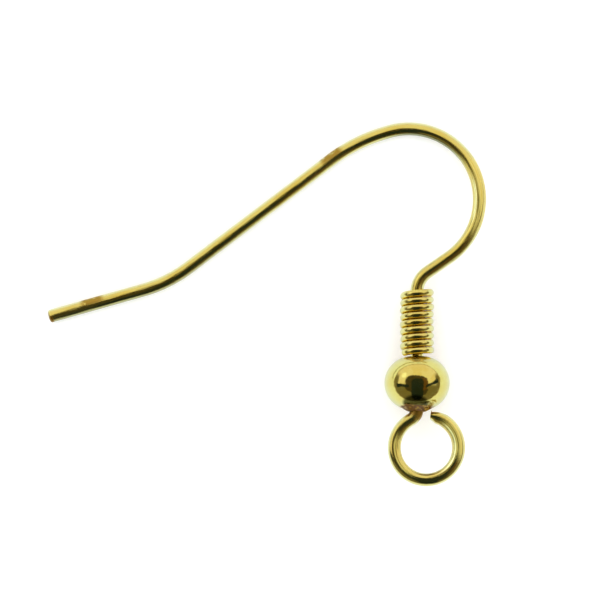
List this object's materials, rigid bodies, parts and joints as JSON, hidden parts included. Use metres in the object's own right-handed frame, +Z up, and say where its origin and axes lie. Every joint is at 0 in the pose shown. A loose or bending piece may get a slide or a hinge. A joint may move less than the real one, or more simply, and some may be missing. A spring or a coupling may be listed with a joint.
{
  "type": "ear wire",
  "caption": "Ear wire bent from one length of round wire: open eye, straight shank with a threaded bead and coil, hook over the ear lobe and bent-out tail.",
  "frame": {"origin": "on the table, under the middle of the box of the ear wire as it lies", "axes": "+X across the hook's opening, from the tail's tip to the eye's side; +Y along the shank towards the hook, seen from above; +Z up from the table"},
  "size_m": [0.0201, 0.0166, 0.003],
  "materials": {
    "ear_hook": "polished gold plating on drawn wire, with a few dull brown patches",
    "bead": "mirror-polished gold plating",
    "coil": "polished gold plating on fine drawn wire"
  },
  "bodies": {
    "wire": {"ear_hook": "ear_hook"},
    "bead": {"bead": "bead"},
    "coil": {"coil": "coil"}
  },
  "joints": [
    {"name": "bead_turn", "type": "hinge", "parent": "wire", "child": "bead", "pos_m": [0.00689, -0.00362, 0.0015], "axis": [0, 0.9954, -0.0953], "continuous": true},
    {"name": "coil_turn", "type": "hinge", "parent": "wire", "child": "coil", "pos_m": [0.00689, -0.00078, 0.00123], "axis": [0, 0.9954, -0.0953], "continuous": true}
  ]
}
